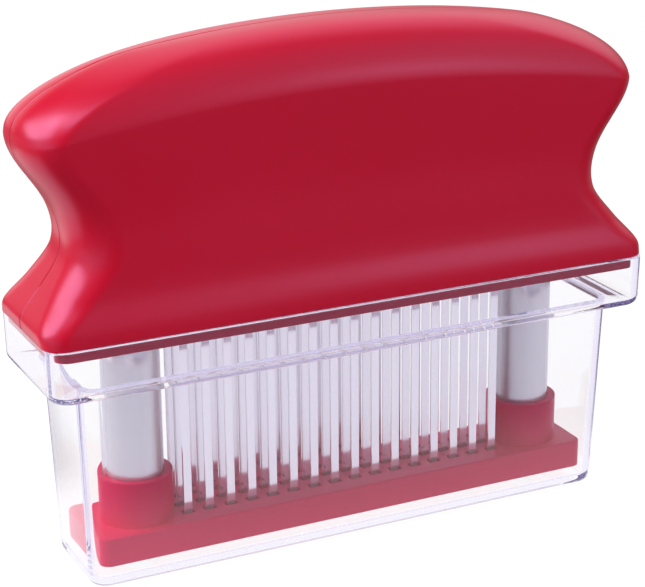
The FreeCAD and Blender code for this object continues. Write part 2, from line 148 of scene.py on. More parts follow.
# ------------------------------------------------------------------ node trees
class Sheet:
    """One node tree, with short ways to add nodes and join them."""

    def __init__(self, tree: bpy.types.NodeTree) -> None:
        """Empties the tree and keeps it."""
        self.tree = tree
        self.tree.nodes.clear()

    @classmethod
    def of(cls, holder: Union[bpy.types.Material, bpy.types.World]) -> "Sheet":
        """Starts the sheet of a material or of the world."""
        holder.use_nodes = True
        return cls(holder.node_tree)

    def add(self, kind: str, **values: object) -> Node:
        """Adds one node.

        Args:
            kind: the node's type name.
            values: settings of the node, or what its inputs take, with underscores for spaces: sockets or
                plain values.

        Returns:
            The new node.
        """
        node = self.tree.nodes.new(kind)
        for name, value in values.items():
            if hasattr(node, name):
                setattr(node, name, value)
            else:
                self.join(value, node.inputs[name.replace("_", " ")])
        return node

    def step(self, kind: str, *terms: object, **values: object) -> Socket:
        """Adds one node and also feeds its inputs in their order.

        Args:
            kind: the node's type name.
            terms: what the first inputs take.
            values: as for add.

        Returns:
            The node's first output.
        """
        node = self.add(kind, **values)
        for term, entry in zip(terms, node.inputs):
            self.join(term, entry)
        return node.outputs[0]

    def join(self, source: object, entry: Socket) -> None:
        """Links an output to an input, or gives the input a plain value.

        Args:
            source: an output or a plain value.
            entry: the input.
        """
        if isinstance(source, Socket):
            self.tree.links.new(source, entry)
        else:
            entry.default_value = source

    def math(self, operation: str, *terms: Union[Socket, float], clamp: bool = False) -> Socket:
        """Adds one step of arithmetic, held between 0 and 1 where clamp is set."""
        return self.step("ShaderNodeMath", *terms, operation=operation, use_clamp=clamp)

    def product(self, *sources: Socket) -> Socket:
        """Returns the sources multiplied together."""
        return reduce(lambda first, second: self.math("MULTIPLY", first, second), sources)

    def total(self, *sources: Socket) -> Socket:
        """Returns the sum of the sources."""
        return reduce(lambda first, second: self.math("ADD", first, second), sources)

    def scaled(self, source: Socket, factor: float, offset: float) -> Socket:
        """Returns source times factor plus offset."""
        return self.math("MULTIPLY_ADD", source, factor, offset)

    def reversed(self, source: Socket) -> Socket:
        """Returns 1 minus the source."""
        return self.scaled(source, -1.0, 1.0)

    def place(self) -> Socket:
        """Returns where a point lies in its piece's own axes."""
        return self.add("ShaderNodeTexCoord").outputs["Object"]

    def noise(self, where: Socket, scale: Union[Socket, float], detail: float, roughness: float,
              distortion: float = 0.0) -> Socket:
        """Adds a noise texture and returns its value, from 0 to 1."""
        return self.add("ShaderNodeTexNoise", Vector=where, Scale=scale, Detail=detail, Roughness=roughness,
                        Distortion=distortion).outputs["Fac"]

    def ramp(self, source: Socket, start: float, end: float, low: float, high: float) -> Socket:
        """Returns low up to start and high from end on, with a smooth step between them."""
        return self.step("ShaderNodeMapRange", source, start, end, low, high,
                         interpolation_type="SMOOTHSTEP")

    def mixed(self, mask: Socket, low: Socket, high: Socket) -> Socket:
        """Returns the shader low where mask is 0 and high where it is 1."""
        return self.step("ShaderNodeMixShader", mask, low, high)

    def blended(self, mask: Socket, low: Colour, high: Colour) -> Socket:
        """Returns low where mask is 0 and high where it is 1."""
        return self.add("ShaderNodeMix", data_type="RGBA", Factor=mask, A=opaque(low),
                        B=opaque(high)).outputs["Result"]


def new_group(name: str, inputs: Dict[str, float], *outputs: str) -> Tuple[Sheet, Sockets]:
    """Starts a shader node group whose sockets are all plain numbers.

    Args:
        name: the group's name.
        inputs: each input's name and default value.
        outputs: the names of its outputs.

    Returns:
        The group's sheet and what the group is given.
    """
    tree = bpy.data.node_groups.new(name, "ShaderNodeTree")
    for word, value in inputs.items():
        socket = tree.interface.new_socket(word, in_out="INPUT", socket_type="NodeSocketFloat")
        socket.default_value = value
    for word in outputs:
        tree.interface.new_socket(word, in_out="OUTPUT", socket_type="NodeSocketFloat")
    sheet = Sheet(tree)
    return sheet, sheet.add("NodeGroupInput").outputs


class Effects:
    """Effects that several finishes share, each a node group built once."""

    _made: Dict[Callable[[], bpy.types.NodeTree], bpy.types.NodeTree] = {}

    @classmethod
    def place(cls, sheet: Sheet, effect: Callable[[], bpy.types.NodeTree], **values: float) -> Sockets:
        """Puts one use of a group into a material's sheet.

        Args:
            sheet: the material's sheet.
            effect: what builds the group.
            values: this use's own values for the group's inputs.

        Returns:
            The group's outputs.
        """
        if effect not in cls._made:
            cls._made[effect] = effect()
        return sheet.add("ShaderNodeGroup", node_tree=cls._made[effect], **values).outputs

    @staticmethod
    def mould_grain() -> bpy.types.NodeTree:
        """Moulded plastic: fine grain as a height, and slow flow marks as a mask from 0 to 1.

        Returns:
            The group's tree.
        """
        sheet, given = new_group("mould_grain", {"Grain Scale": 2500.0, "Flow Scale": 22.0}, "Grain", "Flow")
        where = sheet.place()
        grain = sheet.noise(where, given["Grain Scale"], detail=2.0, roughness=0.6)
        flow = sheet.noise(where, given["Flow Scale"], detail=3.0, roughness=0.45, distortion=0.6)
        sheet.add("NodeGroupOutput", Grain=grain, Flow=flow)
        return sheet.tree

    @staticmethod
    def handling() -> bpy.types.NodeTree:
        """Faint smudges from handling, as a mask: two noises multiplied, so that they come in patches.

        Returns:
            The group's tree.
        """
        sheet, given = new_group("handling", {"Scale": 60.0, "Patch Size": 0.4}, "Mask")
        where = sheet.place()
        wide = sheet.product(given["Scale"], given["Patch Size"])
        patches = sheet.noise(where, wide, detail=2.0, roughness=0.5)
        marks = sheet.noise(where, given["Scale"], detail=5.0, roughness=0.7, distortion=1.2)
        sheet.add("NodeGroupOutput", Mask=sheet.product(patches, marks))
        return sheet.tree

    @staticmethod
    def brush_lines() -> bpy.types.NodeTree:
        """Fine lines along Z, from noise squeezed across the grain and drawn out along it; Shade is painted
        reflection on the post.

        Returns:
            The group's tree.
        """
        sheet, given = new_group("brush_lines", {"Across": 3000.0, "Along": 40.0}, "Height", "Shade")
        stretch = sheet.step("ShaderNodeCombineXYZ", given["Across"], given["Across"], given["Along"])
        drawn = sheet.step("ShaderNodeVectorMath", sheet.place(), stretch, operation="MULTIPLY")
        height = sheet.noise(drawn, scale=1.0, detail=3.0, roughness=0.65)
        # Shade: a slower tone for the colour; on the post tube its broad light and dark bands are painted
        # reflection
        shade = sheet.noise(drawn, scale=0.12, detail=3.0, roughness=0.6)
        sheet.add("NodeGroupOutput", Height=height, Shade=shade)
        return sheet.tree


# ------------------------------------------------------------------ finishes
@dataclass(frozen=True)
class Finish:
    """What every finish shares: its slot in the record, its name and its roughness."""

    slot: Slot
    name: str
    roughness: float

    def start(self, **values: object) -> Tuple[bpy.types.Material, Sheet, Node, Node]:
        """Makes the material with one Principled shader joined to its output.

        Args:
            values: values of the shader's inputs.

        Returns:
            The material, its sheet, the Principled shader and the output.
        """
        material = bpy.data.materials.new(self.name)
        sheet = Sheet.of(material)
        shader = sheet.add("ShaderNodeBsdfPrincipled", **values)
        output = sheet.add("ShaderNodeOutputMaterial", target="ALL", Surface=shader.outputs[0])
        return material, sheet, shader, output

    def cover(self, sheet: Sheet, shader: Node, shade: Socket, wear: Socket, spread: float) -> None:
        """Blends the two colours by shade, and raises the roughness by up to spread where wear is 1."""
        sheet.join(sheet.blended(shade, self.colour, self.second_colour), shader.inputs["Base Color"])
        sheet.join(sheet.scaled(wear, spread, self.roughness), shader.inputs["Roughness"])

    @staticmethod
    def raise_surface(sheet: Sheet, shader: Node, height: Socket, strength: float,
                      distance: float) -> None:
        """Feeds a height from 0 to 1 into the shader's normal; distance is the height of a full bump."""
        bump = sheet.step("ShaderNodeBump", Strength=strength, Distance=distance, Height=height)
        sheet.join(bump, shader.inputs["Normal"])

    def make(self) -> bpy.types.Material:
        """Builds the material; each finish has its own."""
        raise NotImplementedError


@dataclass(frozen=True)
class MouldedPlastic(Finish):
    """Opaque moulded plastic with a soft gloss, fine grain, slow flow marks and faint handling."""

    colour: Colour
    second_colour: Colour
    ior: float = 1.5
    gloss: float = 0.5
    gloss_tint: Colour = WHITE
    handled: float = 0.10
    grain_strength: float = 0.25
    grain_height: float = 0.02 * MM

    def make(self) -> bpy.types.Material:
        """Builds the material.

        Returns:
            The material.
        """
        material, sheet, shader, _ = self.start(IOR=self.ior, Specular_IOR_Level=self.gloss,
                                                Specular_Tint=opaque(self.gloss_tint))
        grain, smudge = Effects.place(sheet, Effects.mould_grain), Effects.place(sheet, Effects.handling)
        self.cover(sheet, shader, grain["Flow"], smudge["Mask"], self.handled)
        self.raise_surface(sheet, shader, grain["Grain"], self.grain_strength, self.grain_height)
        return material


@dataclass(frozen=True)
class ClearPlastic(Finish):
    """Clear moulded styrene: smooth, faintly tinted with depth, with slow waves from moulding."""

    depth_colour: Colour
    depth_density: float = 6.5
    ior: float = 1.52
    gloss: float = 0.3
    wave_scale: float = 90.0
    wave_height: float = 0.05 * MM

    def make(self) -> bpy.types.Material:
        """Builds the material; lamps pass through it, so that what it holds is lit.

        Returns:
            The material.
        """
        material, sheet, shader, output = self.start(
            Base_Color=opaque(WHITE), Transmission_Weight=1.0, Specular_IOR_Level=self.gloss, IOR=self.ior,
            Roughness=self.roughness)
        waves = sheet.noise(sheet.place(), self.wave_scale, detail=1.0, roughness=0.4)
        self.raise_surface(sheet, shader, waves, 1.0, self.wave_height)
        shadow = sheet.add("ShaderNodeLightPath").outputs["Is Shadow Ray"]
        through = sheet.step("ShaderNodeBsdfTransparent")
        sheet.join(sheet.mixed(shadow, shader.outputs[0], through), output.inputs["Surface"])
        depth = sheet.step("ShaderNodeVolumeAbsorption", Density=self.depth_density,
                           Color=opaque(self.depth_colour))
        sheet.join(depth, output.inputs["Volume"])
        return material


@dataclass(frozen=True)
class Steel(Finish):
    """Bare steel with fine lines along Z, and a slow change of tone between them; on the post tube it is
    painted reflection.

    A part of it is matt, for the light that the fine grain scatters.
    """

    colour: Colour
    second_colour: Colour
    metal: float = 0.6
    spread: float = 0.10
    across: float = 1500.0
    along: float = 300.0
    line_strength: float = 0.3
    line_height: float = 0.02 * MM

    def make(self) -> bpy.types.Material:
        """Builds the material.

        Returns:
            The material.
        """
        material, sheet, shader, _ = self.start(Metallic=self.metal)
        lines = Effects.place(sheet, Effects.brush_lines, Across=self.across, Along=self.along)
        # base colour blended by Shade: random tone, and on the post tube painted reflection bands
        self.cover(sheet, shader, lines["Shade"], lines["Shade"], self.spread)
        self.raise_surface(sheet, shader, lines["Height"], self.line_strength, self.line_height)
        return material


FINISHES: Tuple[Finish, ...] = (
    MouldedPlastic(Slot.RED, "red moulded plastic", 0.27, (0.57, 0.002, 0.020), (0.60, 0.003, 0.025),
                   gloss=0.95, gloss_tint=(1.0, 0.54, 1.0)),
    MouldedPlastic(Slot.WHITE, "natural acetal", 0.42, (0.80, 0.79, 0.74), (0.86, 0.85, 0.81)),
    ClearPlastic(Slot.CLEAR, "clear styrene", 0.0, (0.40, 0.36, 0.66)),
    Steel(Slot.BLADE, "blade strip", 0.08, (0.88, 0.87, 0.94), (1.0, 0.99, 1.0), metal=0.75, across=2500.0,
          along=25.0, line_height=0.01 * MM),
    # post tube: broad bands from dark grey to near white are painted reflection of what the tube mirrors,
    # over its brushing
    Steel(Slot.POST, "brushed post tube", 0.20, (0.44, 0.43, 0.49), (1.0, 0.99, 1.0), metal=0.7, across=420.0,
          along=4.0, line_height=0.01 * MM),
    Steel(Slot.SCREW, "machined steel", 0.26, (0.52, 0.52, 0.54), (0.62, 0.62, 0.63)),
    Steel(Slot.SPRING, "spring wire", 0.22, (0.42, 0.42, 0.45), (0.55, 0.55, 0.57)),
)
# red for pieces inside the case: lighter and bluer than the handle's, painted light standing in for the pale
# haze the clear case lays over them
PAINTED_HAZE_RED = MouldedPlastic(Slot.RED, "red guard plastic", 0.32, (0.80, 0.004, 0.085), (0.86, 0.006, 0.095),
                           gloss=0.3, gloss_tint=(1.0, 0.4, 1.0))


class Wardrobe:
    """Keeps one material for each slot and dresses pieces and nodes in it."""

    def __init__(self) -> None:
        """Builds every finish once and reads which slot each node has."""
        self.materials = {finish.slot: finish.make() for finish in FINISHES}
        self.painted_haze_red = PAINTED_HAZE_RED.make()
        self.slots = {part["node"]: Slot(part["material_slot"]) for part in frame["record"]["subparts"]}

    def dress(self, piece: Piece, slot: Slot) -> None:
        """Gives a piece its slot's material; red pieces in the case get a lighter, bluer red, painted light
        for the case's haze.

        Args:
            piece: the piece to dress.
            slot: the record's slot for its finish.
        """
        # red pieces inside the case take the red with the painted case haze
        inside = slot is Slot.RED and not piece.name.startswith("handle")
        piece.data.materials.clear()
        piece.data.materials.append(self.painted_haze_red if inside else self.materials[slot])

    def dress_nodes(self, *nodes: str) -> None:
        """Gives carried-over nodes the finishes that the record names for them.

        Args:
            nodes: the nodes' names.
        """
        for node in nodes:
            for holding in frame["nodes"][node].material_slots:
                holding.material = self.materials[self.slots[node]]


# ------------------------------------------------------------------ meshes
class Skin:
    """Grids of points gathered into one closed mesh."""

    def __init__(self) -> None:
        """Starts with no points."""
        self.points: List[Points] = []
        self.faces: List[Tuple[int, ...]] = []
        self.count = 0

    def _keep(self, points: Points) -> int:
        """Adds points.

        Args:
            points: an array whose last axis is x, y and z.

        Returns:
            The number of the first of them.
        """
        first = self.count
        self.points.append(points.reshape(-1, 3))
        self.count += len(self.points[-1])
        return first

    def grid(self, points: Points, wrap_columns: bool = False, wrap_rows: bool = False) -> None:
        """Adds a grid of four-sided faces.

        Args:
            points: rows by columns by 3.
            wrap_columns: whether the last column joins the first.
            wrap_rows: whether the last row joins the first.
        """
        rows, columns = points.shape[:2]
        number = self._keep(points) + np.arange(rows * columns).reshape(rows, columns)
        if wrap_columns:
            number = np.concatenate((number, number[:, :1]), axis=1)
        if wrap_rows:
            number = np.concatenate((number, number[:1]), axis=0)
        corners = (number[:-1, :-1], number[:-1, 1:], number[1:, 1:], number[1:, :-1])
        self.faces.extend(map(tuple, np.stack(corners, axis=-1).reshape(-1, 4).tolist()))

    def bar(self, rings: Points) -> None:
        """Adds rings as a skin that is closed round them, with a flat face at either end.

        Args:
            rings: grid of rings by points round the ring.
        """
        self.grid(rings, wrap_columns=True)
        for ring in (rings[0], rings[-1]):
            first = self._keep(ring)
            self.faces.append(tuple(range(first, first + len(ring))))

    def make(self, name: str, crease: float) -> Piece:
        """Turns the grids into an object with outward faces.

        Args:
            name: the piece's name.
            crease: the angle in degrees past which an edge is drawn sharp.

        Returns:
            The new object, linked to the scene.
        """
        mesh = bpy.data.meshes.new(name)
        mesh.from_pydata(np.concatenate(self.points).tolist(), [], self.faces)
        clean = bmesh.new()
        clean.from_mesh(mesh)
        bmesh.ops.remove_doubles(clean, verts=clean.verts, dist=WELD)
        bmesh.ops.dissolve_degenerate(clean, edges=clean.edges, dist=WELD)
        bmesh.ops.recalc_face_normals(clean, faces=clean.faces)
        clean.to_mesh(mesh)
        clean.free()
        return finish_mesh(mesh, name, crease)


def finish_mesh(mesh: bpy.types.Mesh, name: str, crease: float) -> Piece:
    """Shades a mesh smooth up to an angle and links it as an object.

    Args:
        mesh: the mesh.
        name: the object's name.
        crease: the angle in degrees past which an edge is drawn sharp.

    Returns:
        The new object.
    """
    mesh.polygons.foreach_set("use_smooth", np.ones(len(mesh.polygons), dtype=bool))
    mesh.set_sharp_from_angle(angle=math.radians(crease))
    mesh.update()
    return linked(name, mesh)


def turned(profile: Points, x: float, steps: int = 96) -> Points:
    """Carries a closed profile round an upright axis.

    Formula: each (r, z) becomes (x + r cos a, r sin a, z), for a from 0 to 360 degrees.

    Args:
        profile: points of (radius, z).
        x: the axis's place along X.
        steps: how many steps the turn has.

    Returns:
        Grid of profile points by steps.
    """
    angle = np.linspace(0.0, WHOLE_TURN, steps, endpoint=False)
    radius, height = profile[:, :1], profile[:, 1:]
    return np.stack((x + radius * np.cos(angle), radius * np.sin(angle), height + 0.0 * angle), axis=-1)


def arc(centre: Tuple[float, float], radius: float, start: float, end: float, steps: int) -> Points:
    """Points on a circular arc in the plane of a profile, by angle in degrees."""
    angle = np.radians(np.linspace(start, end, steps))
    return np.stack((centre[0] + radius * np.cos(angle), centre[1] + radius * np.sin(angle)), axis=-1)


def rounded_ring(half_length: Points, half_depth: Points, corner: Points, z: Points,
                 steps: int = 12) -> Points:
    """Rings of rounded rectangles, one for each entry of the four arrays.

    Formula: a quarter circle of the corner radius about each corner's centre, joined by straight sides.

    Args:
        half_length: half of each ring's length.
        half_depth: half of each ring's depth.
        corner: each ring's corner radius.
        z: each ring's height.
        steps: steps in each quarter circle.

    Returns:
        Grid of rings by points round the ring.
    """
    turn = np.linspace(0.0, QUARTER_TURN, steps + 1)
    signs = ((1, 1), (-1, 1), (-1, -1), (1, -1))
    columns = []
    for number, (sx, sy) in enumerate(signs):
        angle = turn + number * QUARTER_TURN
        x = sx * (half_length - corner)[:, None] + corner[:, None] * np.cos(angle)
        y = sy * (half_depth - corner)[:, None] + corner[:, None] * np.sin(angle)
        columns.append(np.stack((x, y, z[:, None] + 0.0 * angle), axis=-1))
    return np.concatenate(columns, axis=1)


def softened_copy(node: str, name: str, width: float, steps: int = 2) -> Piece:
    """Copies a node's mesh and rounds its edges as a mould or a deburring would.

    Args:
        node: the node to copy.
        name: the new piece's name.
        width: how far the rounding reaches from each edge.
        steps: faces across the rounding.

    Returns:
        The new piece.
    """
    mesh = frame["nodes"][node].data.copy()
    clean = bmesh.new()
    clean.from_mesh(mesh)
    bmesh.ops.remove_doubles(clean, verts=clean.verts, dist=COPY_WELD)
    bmesh.ops.dissolve_limit(clean, angle_limit=math.radians(FLAT_ANGLE), verts=clean.verts,
                             edges=clean.edges)
    clean.to_mesh(mesh)
    clean.free()
    piece = finish_mesh(mesh, name, SHARP_ANGLE)
    bevel = piece.modifiers.new("soft edges", "BEVEL")
    bevel.width = width
    bevel.segments = steps
    bevel.limit_method = "ANGLE"
    bevel.angle_limit = math.radians(BEVEL_ANGLE)
    bevel.harden_normals = True
    bevel.use_clamp_overlap = True
    return piece


@dataclass
class SubAssembly:
    """What every sub-assembly shares: where its pieces ride, what they stand for and how they are dressed."""

    wardrobe: Wardrobe

    def fit(self, piece: Piece, body: Body, slot: Slot, *nodes: str) -> Piece:
        """Dresses a finished piece, lets it stand for its nodes and ride on its body.

        Args:
            piece: the finished piece.
            body: the body that it moves with.
            slot: the record's slot for its finish.
            nodes: the nodes that it stands for.

        Returns:
            The piece.
        """
        self.wardrobe.dress(piece, slot)
        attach(piece, body.value)
        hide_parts(*nodes)
        LOG.info("%-22s rides on %-6s for %s", piece.name, body.value, ", ".join(nodes))
        return piece


# ------------------------------------------------------------------ handle
def smooth_stations(at: Points, places: Points, values: Points) -> Points:
    """Smooth curve through stations.

    Formula: cubic Hermite pieces; the slope at a station is that between its two neighbours, and 0 at the
    last.

    Args:
        at: where to read the curve.
        places: the stations' places, rising.
        values: the stations' values.

    Returns:
        The curve's value at each place.
    """
    slopes = np.empty_like(values)
    slopes[0] = (values[1] - values[0]) / (places[1] - places[0])
    slopes[1:-1] = (values[2:] - values[:-2]) / (places[2:] - places[:-2])
    slopes[-1] = 0.0
    i = np.clip(np.searchsorted(places, at) - 1, 0, len(places) - 2)
    width = places[i + 1] - places[i]
    t = np.clip((at - places[i]) / width, 0.0, 1.0)
    lead = (1 + 2 * t) * (1 - t) ** 2 * values[i] + t * (1 - t) ** 2 * width * slopes[i]
    return lead + t * t * (3 - 2 * t) * values[i + 1] + t * t * (t - 1) * width * slopes[i + 1]


@dataclass
class Handle(SubAssembly):
    """The two moulded shells: a flange, a flare, a waist to hold, a shoulder's edge and an arched crown."""

    wall: float = 2.4 * MM
    flange_half_length: float = 75.7 * MM
    flange_half_depth: float = 18.2 * MM
    heights: Tuple[float, ...] = in_mm(0.0, 3.8, 10.6, 19.2, 29.2, 50.0)
    length_steps: Tuple[float, ...] = in_mm(0.0, 0.1, 4.6, 9.6, 8.6, 0.1)
    depth_steps: Tuple[float, ...] = in_mm(0.0, 0.4, 2.2, 3.0, 3.6, 3.4)
    corner_stations: Tuple[int, ...] = (0, 3, 5)
    corner_lengths: Tuple[float, ...] = in_mm(5.0, 9.8, 8.0)
    end_flats: Tuple[float, ...] = in_mm(13.2, 4.2, 1.8)
    crown_fullness: float = 3.15
    crown_lean: float = 28.7
    end_bulge: float = 2.4
    end_fullness: float = 1.8
    corner_spread: float = 2.5
    ridge_step_length: float = 29.3 * MM
    ridge_flat_length: float = 14.0 * MM
    arch_drop: float = 8.9 * MM
    shoulder_round: float = 0.7 * MM
    seam_width: float = 0.16 * MM
    seam_depth: float = 0.26 * MM
    rim_radius: float = 0.35 * MM
    foot_shares: Tuple[float, ...] = (0.0, 0.0015, 0.004, 0.008)
    first_side_share: float = 0.014
    side_rows: int = 80
    shoulder_reach: float = 1.4
    shoulder_rows: int = 7
    crown_rows: int = 56
    crown_crowding: float = 1.4
    seam_lead: float = 0.002
    flat_shares: Tuple[float, ...] = (0.0, 0.03, 0.07, 0.14, 0.4, 0.7)
    corner_columns: int = 26
    front_columns: int = 22

    def __post_init__(self) -> None:
        """Reads the flange's level and the crown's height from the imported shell, and sizes the shoulder."""
        low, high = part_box("handle_front_shell")
        self.flange_z = low.z
        self.crown_height = high.z - low.z
        self.shoulder = self.heights[-1]
        self.shoulder_half_length = self.flange_half_length - self.length_steps[-1]
        self.shoulder_half_depth = self.flange_half_depth - self.depth_steps[-1]
        self.lean = math.radians(self.crown_lean)

    def _columns(self) -> Tuple[Points, Points, Points]:
        """Where each column lies, from the right end round the corner to the middle of the front.

        Returns:
            For each column, the share of the end flat, the corner's angle and the share of the front.
        """
        flat, corner = np.array(self.flat_shares), np.linspace(0.0, QUARTER_TURN, self.corner_columns)
        front = np.linspace(1.0, 0.0, self.front_columns + 1)[1:]
        share_flat = np.append(flat, np.ones(len(corner) + len(front)))
        angle = np.pad(corner, (len(flat), len(front)), mode="edge")
        share_front = np.append(np.ones(len(flat) + len(corner)), front)
        return share_flat, angle, share_front

    def surface(self, shares: Points, inset: float) -> Points:
        """Front half of the handle's surface.

        Formula: each level is half a rounded outline, an end flat, a quarter ellipse and a straight front;
        its sizes follow smooth curves through the stations up to the shoulder. Above it the depth shrinks
        as the upper part of a superellipse and the length as a whole quarter of one, so that the
        shoulder's edge dies out towards the ends. Each height is lowered by a parabola along X.

        Args:
            shares: the rows, from 0 at the flange to 1 at the shoulder's edge and 2 at the ridge.
            inset: how far inside the outer skin the surface lies.

        Returns:
            Grid of rows by columns.
        """
        heights, stations = np.array(self.heights), list(self.corner_stations)
        side = self.shoulder * np.clip(shares, 0.0, 1.0)
        lengths = self.flange_half_length - np.array(self.length_steps) - inset
        depths = self.flange_half_depth - np.array(self.depth_steps) - inset
        corner_lengths = np.array(self.corner_lengths) - inset / 2.0
        corner_depths = depths[stations] + inset / 2.0 - np.array(self.end_flats)
        half_length, half_depth, corner_length, corner_depth = (
            smooth_stations(side, places, values) for places, values in
            ((heights, lengths), (heights, depths), (heights[stations], corner_lengths),
             (heights[stations], corner_depths)))
        power = 2.0 / self.crown_fullness
        turn = self.lean + np.clip(shares - 1.0, 0.0, 1.0) * (QUARTER_TURN - self.lean)
        across = np.clip(np.cos(turn) / math.cos(self.lean), 0.0, 1.0) ** power
        across[shares >= 2.0] = 0.0
        start = math.sin(self.lean) ** power
        rise = (np.sin(turn) ** power - start) / (1.0 - start)
        ridge = self.shoulder_half_length - self.ridge_step_length
        bulge = np.clip(rise, 0.0, 1.0) ** self.end_bulge
        along = np.clip(1.0 - bulge, 0.0, 1.0) ** (1.0 / self.end_fullness)
        own = across ** self.corner_spread
        half_length = ridge + (half_length - ridge) * along
        corner_length = corner_length * own + (ridge - self.ridge_flat_length) * (1.0 - own)
        half_depth, corner_depth = half_depth * across, corner_depth * across
        height = side + (self.crown_height - inset - self.shoulder) * rise
        share_flat, angle, share_front = self._columns()
        flat = half_depth - corner_depth
        x = (half_length[:, None] - corner_length[:, None] * (1.0 - np.cos(angle))) * share_front
        y = flat[:, None] * share_flat + corner_depth[:, None] * np.sin(angle)
        x = np.concatenate((x, -x[:, -2::-1]), axis=1)
        y = np.concatenate((y, y[:, -2::-1]), axis=1)
        drop = 1.0 - self.arch_drop / self.crown_height * (x / self.shoulder_half_length) ** 2
        return np.stack((x, -y, self.flange_z + height[:, None] * drop), axis=-1)

    def _rounded(self, inset: float, radius: float) -> Points:
        """The surface's rows with the shoulder's edge rounded.

        Formula: between a row one radius below the edge and a row a little further beyond it, a quadratic
        curve whose middle point is the edge itself. The crown's rows lie closer towards the ridge, with one
        where the seam begins.

        Args:
            inset: how far inside the outer skin the surface lies.
            radius: the size of the rounding.

        Returns:
            Grid of rows by columns.
        """
        foot_to_edge = np.linspace(self.first_side_share, 1.0 - radius / self.shoulder, self.side_rows)
        side = np.concatenate((self.foot_shares, foot_to_edge))
        beyond = self.shoulder_reach * radius / self.shoulder_half_depth
        left = (1.0 - np.linspace(0.0, 1.0, self.crown_rows)) ** self.crown_crowding
        crown = beyond + (1.0 - beyond) * (1.0 - left)
        seam = self.seam_width / self.shoulder_half_depth
        turn = math.acos(math.cos(self.lean) * seam ** (self.crown_fullness / 2.0))
        last = (turn - self.lean) / (QUARTER_TURN - self.lean)
        seam_rows = (last - self.seam_lead, last, 1.0)
        crown = np.concatenate((crown[crown < last - 2.0 * self.seam_lead], seam_rows))
        grid = self.surface(np.concatenate((side, [1.0], 1.0 + crown)), inset)
        below, edge, above = grid[len(side) - 1], grid[len(side)], grid[len(side) + 1]
        t = np.linspace(0.0, 1.0, self.shoulder_rows)[1:-1, None, None]
        bend = (1.0 - t) ** 2 * below + 2.0 * t * (1.0 - t) * edge + t ** 2 * above
        return np.concatenate((grid[:len(side)], bend, grid[len(side) + 1:]))

    def _eased(self, outer: Points) -> Points:
        """Lets the outer skin dip at the seam and round off at the flange's foot.

        Formula: a point nearer the middle plane than the seam's width sinks along the surface's normal in
        proportion, and one within the rim radius of the foot moves in by a quarter circle.

        Args:
            outer: grid of the outer skin.

        Returns:
            The eased grid.
        """
        normal = np.cross(np.gradient(outer, axis=1), np.gradient(outer, axis=0))
        normal = normal / np.maximum(np.linalg.norm(normal, axis=-1, keepdims=True), NOTHING * MM)
        middle = np.array((0.0, 0.0, self.flange_z + 0.5 * self.crown_height))
        outward = np.sign(np.median((normal * (outer - middle)).sum(-1)))
        normal = normal * outward
        normal[..., 1] = np.where(np.abs(outer[..., 1]) < NOTHING, 0.0, normal[..., 1])
        sink = self.seam_depth * np.clip(1.0 - np.abs(outer[..., 1]) / self.seam_width, 0.0, 1.0)
        above = np.clip((outer[..., 2] - self.flange_z) / self.rim_radius, 0.0, 1.0)
        quarter = 1.0 - np.sqrt(np.clip(1.0 - (1.0 - above) ** 2, 0.0, 1.0))
        eased = outer - normal * np.maximum(sink, self.rim_radius * quarter)[..., None]
        eased[0, :, 2] = self.flange_z
        eased[:, [0, -1], 1] = 0.0
        eased[-1, :, 1] = 0.0
        return eased

    def build(self) -> None:
        """Makes both shells; the rear one is the front one mirrored in the middle plane."""
        outer = self._eased(self._rounded(0.0, self.shoulder_round))
        inner = self._rounded(self.wall, self.shoulder_round)
        for name, sign in (("front", 1.0), ("rear", -1.0)):
            mirror = np.array((1.0, sign, 1.0))
            skin = Skin()
            skin.grid(outer * mirror)
            skin.grid(inner[:, ::-1] * mirror)
            for edge in ((0, slice(None)), (-1, slice(None)), (slice(None), 0), (slice(None), -1)):
                skin.grid(np.stack((outer[edge], inner[edge])) * mirror)
            piece = skin.make("handle_" + name, crease=50.0)
            self.fit(piece, Body.HANDLE, Slot.RED, "handle_" + name + "_shell")
        self.wardrobe.dress_nodes("shell_dowels")


# ------------------------------------------------------------------ clear case
@dataclass(frozen=True)
class Outline:
    """A rounded outline that grows with height, as a drafted wall does."""

    foot_z: float
    height: float
    half_length: float
    half_depth: float
    length_growth: float
    depth_growth: float
    corner: float
    smallest_corner: float = 0.05 * MM

    def rings(self, spots: Points) -> Points:
        """Rings at spots of (inward, z), with corners that shrink as they move in.

        Formula: each half size is the foot's plus its growth times the share of the height, less inward.

        Args:
            spots: how far inside the outline and at what height each ring lies.

        Returns:
            Grid of rings by points round the ring.
        """
        inward, z = spots[:, 0], spots[:, 1]
        share = (z - self.foot_z) / self.height
        return rounded_ring(self.half_length + self.length_growth * share - inward,
                            self.half_depth + self.depth_growth * share - inward,
                            np.maximum(self.corner - inward, self.smallest_corner), z)

    def wall(self, *spots: Tuple[float, float]) -> Points:
        """Rings along a straight stretch of the section."""
        return self.rings(np.array(spots))

    def bend(self, centre: Tuple[float, float], radius: float, start: float, end: float,
             steps: int) -> Points:
        """Rings round an edge of the section, by angle in degrees."""
        return self.rings(arc(centre, radius, start, end, steps))


